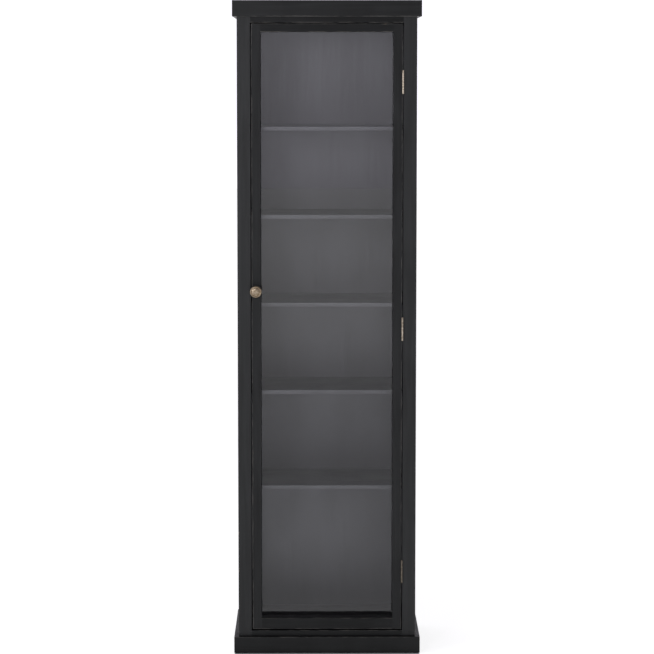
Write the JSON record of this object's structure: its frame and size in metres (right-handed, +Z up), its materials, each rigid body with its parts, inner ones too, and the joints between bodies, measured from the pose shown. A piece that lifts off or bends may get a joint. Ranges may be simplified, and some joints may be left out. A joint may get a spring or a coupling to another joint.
{
  "type": "tower display case",
  "caption": "Tall narrow free-standing black wooden display case with one inset glazed door, loose shelves, an overhanging cap and a plinth.",
  "frame": {"origin": "on the floor, in the middle of the case's box seen from above, the knob included", "axes": "+Z up, -Y out of the front where the door is, +X to the right as seen from the front"},
  "size_m": [0.572, 0.418, 2],
  "materials": {
    "black_paint": "satin black paint over wood grain, worn at the arrises",
    "back_paint": "satin black paint on a thin panel",
    "shelf_paint": "satin black paint on thin boards",
    "raw_wood": "sawn softwood, unpainted",
    "glass": "clear float glass",
    "knob_brass": "antiqued, brushed",
    "hinge_brass": "antiqued",
    "steel_screws": "dulled",
    "steel_fittings": "zinc plated",
    "glide_plastic": "moulded",
    "catch_plastic": "moulded"
  },
  "bodies": {
    "cabinet": {"back_panel": "back_paint", "back_panel_screws": "steel_screws", "bottom_board": "black_paint", "cap_back": "black_paint", "cap_front": "black_paint", "cap_panel": "black_paint", "cap_side_left": "black_paint", "cap_side_right": "black_paint", "catch_housing": "catch_plastic", "catch_magnet": "steel_fittings", "door_stop": "black_paint", "face_rail_bottom": "black_paint", "face_rail_top": "black_paint", "face_stile_left": "black_paint", "face_stile_right": "black_paint", "foot_glides": "glide_plastic", "hanging_rail": "black_paint", "hinge_bottom_frame_leaf": "hinge_brass", "hinge_bottom_pin": "hinge_brass", "hinge_middle_frame_leaf": "hinge_brass", "hinge_middle_pin": "hinge_brass", "hinge_screws_frame": "steel_screws", "hinge_top_frame_leaf": "hinge_brass", "hinge_top_pin": "hinge_brass", "plinth_back": "black_paint", "plinth_blocks": "raw_wood", "plinth_front": "black_paint", "plinth_side_left": "black_paint", "plinth_side_right": "black_paint", "shelf_1": "shelf_paint", "shelf_2": "shelf_paint", "shelf_3": "shelf_paint", "shelf_4": "shelf_paint", "shelf_5": "shelf_paint", "shelf_pins": "steel_fittings", "side_panel_left": "black_paint", "side_panel_right": "black_paint", "top_board": "black_paint"},
    "door": {"door_glass": "glass", "door_rail_bottom": "black_paint", "door_rail_top": "black_paint", "door_stile_left": "black_paint", "door_stile_right": "black_paint", "glazing_bead_bottom": "black_paint", "glazing_bead_left": "black_paint", "glazing_bead_right": "black_paint", "glazing_bead_top": "black_paint", "hinge_bottom_door_leaf": "hinge_brass", "hinge_middle_door_leaf": "hinge_brass", "hinge_screws_door": "steel_screws", "hinge_top_door_leaf": "hinge_brass", "knob": "knob_brass", "knob_rosette": "knob_brass", "knob_screw": "steel_screws", "strike_plate": "steel_fittings"}
  },
  "joints": [
    {"name": "door_hinge", "type": "hinge", "parent": "cabinet", "child": "door", "pos_m": [0.23, -0.1809, 1.0045], "axis": [0, 0, 1], "range_deg": [0, 180]}
  ]
}
